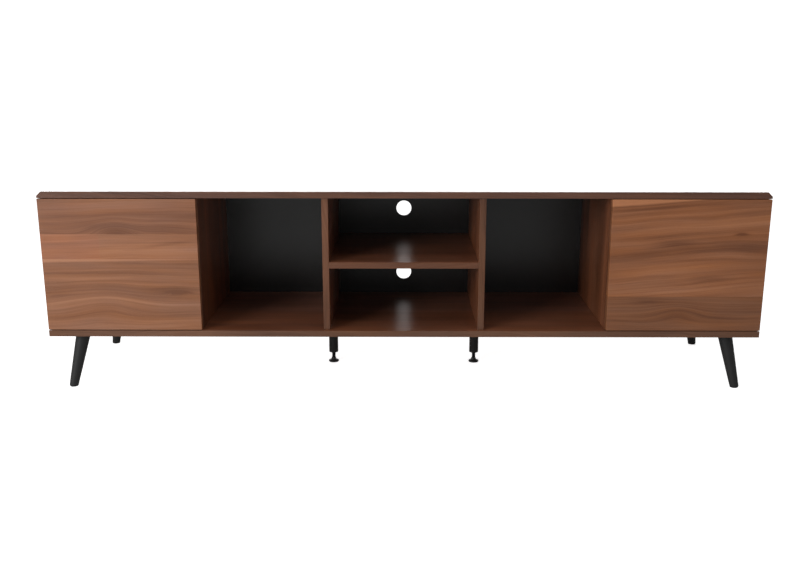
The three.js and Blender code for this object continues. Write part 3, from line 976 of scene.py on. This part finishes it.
def cross_recess(bm, width, length, top, depth):
    """The turned head with a cross recess cut into its flat top."""
    head = loose_object("head", bm)
    cutter = loose_object("cutter", cross_bar(width, length, top, depth))
    boolean = head.modifiers.new("recess", "BOOLEAN")
    boolean.operation = "DIFFERENCE"
    boolean.solver = "EXACT"
    boolean.object = cutter
    result = bmesh.new()
    result.from_object(head, bpy.context.evaluated_depsgraph_get())
    for item in (head, cutter):
        mesh = item.data
        bpy.data.objects.remove(item)
        bpy.data.meshes.remove(mesh)
    return result


def screw_head(radius, height):
    """A pan head with a cross recess, its underside at z = 0."""
    flat = 0.55 * radius
    profile = [(0.0, 0.0), (radius, 0.0), (radius, 0.3 * height)]
    steps = 5
    for i in range(1, steps + 1):
        angle = math.pi / 2 * i / steps
        profile.append((flat + (radius - flat) * math.cos(angle),
                        0.3 * height + 0.7 * height * math.sin(angle)))
    profile.append((0.0, height))
    return cross_recess(turned(profile, 32), 0.30 * radius, 1.25 * radius, height, 0.6 * height)


def cam_disc(radius, height):
    """The face of a cam lock: a shallow turned disc with a cross recess."""
    edge = mm(0.15)
    profile = [(0.0, 0.0), (radius, 0.0), (radius, height - edge), (radius - edge, height), (0.0, height)]
    return cross_recess(turned(profile, 40), 0.26 * radius, 1.3 * radius, height, 0.8 * height)


def bumper_dome(radius, height):
    profile = [(0.0, 0.0), (radius, 0.0), (radius, 0.25 * height)]
    steps = 6
    for i in range(1, steps + 1):
        angle = math.pi / 2 * i / steps
        profile.append((radius * math.cos(angle), 0.25 * height + 0.75 * height * math.sin(angle)))
    return turned(profile, 32)


def scatter(name, prototype, spots, body, material):
    """One piece made of copies of a small turned shape, each at a point and facing a direction."""
    shape = bpy.data.meshes.new("shape")
    prototype.to_mesh(shape)
    prototype.free()
    bm = bmesh.new()
    for index, (point, facing) in enumerate(spots):
        first = len(bm.verts)
        bm.from_mesh(shape)
        bm.verts.ensure_lookup_table()
        turn = Matrix.Rotation(1.1 * index + 0.4, 4, "Z")
        aim = Vector(facing).to_track_quat("Z", "Y").to_matrix().to_4x4()
        bmesh.ops.transform(bm, matrix=Matrix.Translation(point) @ aim @ turn, verts=bm.verts[first:])
    bpy.data.meshes.remove(shape)
    return place_piece(name, mesh_from(name, bm), body, material)


# Radius and height of each kind of screw head, the cam lock's face and the bumper.
CUP_SCREW = (mm(3.4), mm(1.5))
HINGE_PLATE_SCREW = (mm(3.6), mm(1.6))
ARM_SCREW = (mm(3.2), mm(1.4))
LATCH_SCREW = (mm(2.9), mm(1.2))
LEG_PLATE_SCREW = (mm(4), mm(1.9))
FLANGE_SCREW = (mm(3), mm(1.5))
BACK_SCREW = (mm(2.7), mm(1.0))
CAM_DISC = (mm(7.4), mm(0.5))
BUMPER = (mm(4), mm(2.2))


def apart(spacing):
    """Two offsets, that far apart, about 0."""
    return (-spacing / 2, spacing / 2)


def face_towards(box, sign):
    """The x of the box's face that looks towards +X or -X."""
    low, high = box
    return high.x if sign > 0 else low.x


def hinge_fittings(side, level, steel):
    """Screws in the cup's ears, in the plate's wing, and in the arm."""
    sign = SIDES[side]
    inwards = (-sign, 0, 0)
    prefix = f"{side}_{level}_hinge"
    low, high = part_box(f"{prefix}_cup")
    centre = centre_of(low, high)
    ears = [((centre.x, high.y, centre.z + dz), (0, 1, 0)) for dz in apart(mm(48))]
    scatter(f"{prefix}_cup_screws", screw_head(*CUP_SCREW), ears, f"{side}_leaf", steel)

    door_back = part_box(f"{side}_door")[1].y
    wing = face_towards(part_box(f"{side}_side_panel"), -sign) - sign * mm(1.6)
    wing_spots = [((wing, door_back + mm(40), centre.z + dz), inwards) for dz in apart(mm(32))]
    scatter(f"{prefix}_plate_screws", screw_head(*HINGE_PLATE_SCREW), wing_spots, "carcass",
            steel)

    arm = face_towards(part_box(f"{prefix}_arm"), -sign)
    arm_spots = [((arm, door_back + depth, centre.z), inwards) for depth in (mm(27), mm(53))]
    scatter(f"{prefix}_arm_screws", screw_head(*ARM_SCREW), arm_spots, "carcass", steel)


def latch_fittings(side, steel):
    """Two screws in the housing's free side, which looks into the cabinet."""
    sign = SIDES[side]
    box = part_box(f"{side}_push_latch_housing")
    centre = centre_of(*box)
    face = face_towards(box, sign)
    spots = [((face, centre.y + dy, centre.z), (sign, 0, 0)) for dy in apart(mm(38))]
    scatter(f"{side}_push_latch_screws", screw_head(*LATCH_SCREW), spots, "carcass", steel)


def cam_locks(side, steel):
    """Cam locks near the ends of the uprights, on the faces that aren't seen from straight in front."""
    for part, outwards in (("side_panel", -1), ("partition", 1), ("divider", 1)):
        low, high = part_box(f"{side}_{part}")
        facing = SIDES[side] * outwards
        face = face_towards((low, high), facing)
        spots = []
        for y in (low.y + mm(62), high.y - mm(62)):
            for z in (low.z + mm(34), high.z - mm(34)):
                spots.append(((face, y, z), (facing, 0, 0)))
        scatter(f"{side}_{part}_cam_locks", cam_disc(*CAM_DISC), spots, "carcass", steel)


def door_bumpers(side, plastic):
    """Two soft domes on the partition's front edge, where the closed door's free side comes."""
    low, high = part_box(f"{side}_partition")
    x = centre_of(low, high).x
    spots = [((x, low.y, z), (0, -1, 0)) for z in (low.z + mm(18), high.z - mm(18))]
    scatter(f"{side}_door_bumpers", bumper_dome(*BUMPER), spots, "carcass", plastic)


def leg_plate_screws(side, end, steel):
    low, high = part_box(f"{end}_{side}_leg_plate")
    centre = centre_of(low, high)
    spots = []
    for dx in apart(mm(44)):
        for dy in apart(mm(44)):
            spots.append(((centre.x + dx, centre.y + dy, low.z), (0, 0, -1)))
    scatter(f"{end}_{side}_leg_plate_screws", screw_head(*LEG_PLATE_SCREW), spots, "carcass",
            steel)


def flange_screws(side, steel):
    low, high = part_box(f"{side}_centre_foot_sleeve")
    centre = centre_of(low, high)
    spots = []
    for i in range(3):
        angle = 2 * math.pi * i / 3 + 0.5
        x = centre.x + FLANGE_SCREW_CIRCLE * math.cos(angle)
        y = centre.y + FLANGE_SCREW_CIRCLE * math.sin(angle)
        spots.append(((x, y, high.z - FLANGE_THICKNESS), (0, 0, -1)))
    scatter(f"{side}_centre_foot_flange_screws", screw_head(*FLANGE_SCREW), spots, "carcass",
            steel)


# The back's screws: columns up the uprights, and a row along the bottom board's edge.
BACK_SCREW_INSET = mm(4.5)
BACK_COLUMN_START = mm(22)
BACK_COLUMN_STEP = mm(73.5)
BACK_COLUMN_COUNT = 5
BACK_ROW_STEP = mm(150)


def back_screws(steel):
    """Small screws that hold each back sheet to the uprights and to the bottom board's edge."""
    rear = cad_box[1][Y]
    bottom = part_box("bottom_panel")
    for sheet in BACK_SHEETS:
        low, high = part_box(sheet)
        columns = [low.x + BACK_SCREW_INSET, high.x - BACK_SCREW_INSET]
        if sheet != "centre_back_panel":
            columns.append(centre_of(*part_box(sheet.replace("back_panel", "partition"))).x)
        spots = []
        for x in columns:
            for i in range(BACK_COLUMN_COUNT):
                z = bottom[1].z + BACK_COLUMN_START + i * BACK_COLUMN_STEP
                spots.append(((x, rear, z), (0, 1, 0)))
        count = round((high.x - low.x) / BACK_ROW_STEP)
        for i in range(count):
            x = low.x + (high.x - low.x) * (i + 0.5) / count
            spots.append(((x, rear, centre_of(*bottom).z), (0, 1, 0)))
        scatter(f"{sheet}_screws", screw_head(*BACK_SCREW), spots, "carcass", steel)


# ---- The stand ------------------------------------------------------------------------------------


def make_finishes():
    return {
        "nickel": plated_steel("nickel_plate", (0.44, 0.42, 0.38), (0.60, 0.58, 0.54), 0.22,
                               (700.0, 700.0, 40.0)),
        "zinc": plated_steel("zinc_plate", (0.40, 0.41, 0.42), (0.56, 0.57, 0.58), 0.28,
                             (300.0, 300.0, 300.0)),
        "dark steel": plated_steel("blackened_steel", (0.020, 0.020, 0.021), (0.045, 0.045, 0.047), 0.34,
                                   (400.0, 400.0, 400.0)),
        "paint": black_paint(),
        "powder coat": powder_coat(),
        "black plastic": moulded_plastic("black_moulded_plastic", (0.012, 0.012, 0.012),
                                         (0.021, 0.021, 0.021), 0.40),
        "grey plastic": moulded_plastic("grey_moulded_plastic", (0.24, 0.25, 0.26),
                                        (0.31, 0.32, 0.33), 0.42),
        "soft plastic": moulded_plastic("soft_bumper_plastic", (0.46, 0.46, 0.45),
                                        (0.56, 0.56, 0.55), 0.30),
        "hardboard": back_board(),
    }


def finish_back(finishes):
    for sheet in BACK_SHEETS:
        dress(nodes[sheet], finishes["hardboard"])
        round_edges(nodes[sheet], mm(0.3))


# Each hinge piece: what it rides on, where "leaf" is its door, and the rounding of its edges.
HINGE_PIECES = {"cup": ("leaf", mm(0.25)), "pin": ("leaf", mm(0.2)),
                "arm": ("carcass", mm(0.3)), "plate": ("carcass", mm(0.3))}


def finish_hinges(side, finishes):
    for level in LEVELS:
        for piece, (rides_on, edge) in HINGE_PIECES.items():
            body = f"{side}_leaf" if rides_on == "leaf" else "carcass"
            finer_copy(f"{side}_{level}_hinge_{piece}", body, finishes["nickel"], edge)
        hinge_fittings(side, level, finishes["zinc"])


def finish_latch(side, finishes):
    finer_copy(f"{side}_strike_plate", f"{side}_leaf", finishes["nickel"], mm(0.3))
    finer_copy(f"{side}_push_latch_housing", "carcass", finishes["grey plastic"], mm(0.8))
    finer_copy(f"{side}_push_latch_plunger", f"{side}_plunger", finishes["black plastic"],
               mm(0.4))
    latch_fittings(side, finishes["zinc"])
    door_bumpers(side, finishes["soft plastic"])


def finish_supports(side, finishes):
    """The corner legs with their plates and bolts, and the centre foot."""
    for end in ENDS:
        make_leg(side, end, finishes["paint"])
        finer_copy(f"{end}_{side}_leg_plate", "carcass", finishes["powder coat"], mm(0.4))
        dress(nodes[f"{end}_{side}_leg_bolt"], finishes["dark steel"])
        leg_plate_screws(side, end, finishes["dark steel"])
    make_sleeve(side, finishes["powder coat"])
    make_pad(side, finishes["black plastic"])
    make_screw(side, finishes["dark steel"])
    flange_screws(side, finishes["dark steel"])


def finish_hardware():
    finishes = make_finishes()
    finish_back(finishes)
    for side in SIDES:
        finish_hinges(side, finishes)
        finish_latch(side, finishes)
        cam_locks(side, finishes["zinc"])
        finish_supports(side, finishes)
    back_screws(finishes["zinc"])


make_camera()
make_studio()
finish_boards()
finish_hardware()
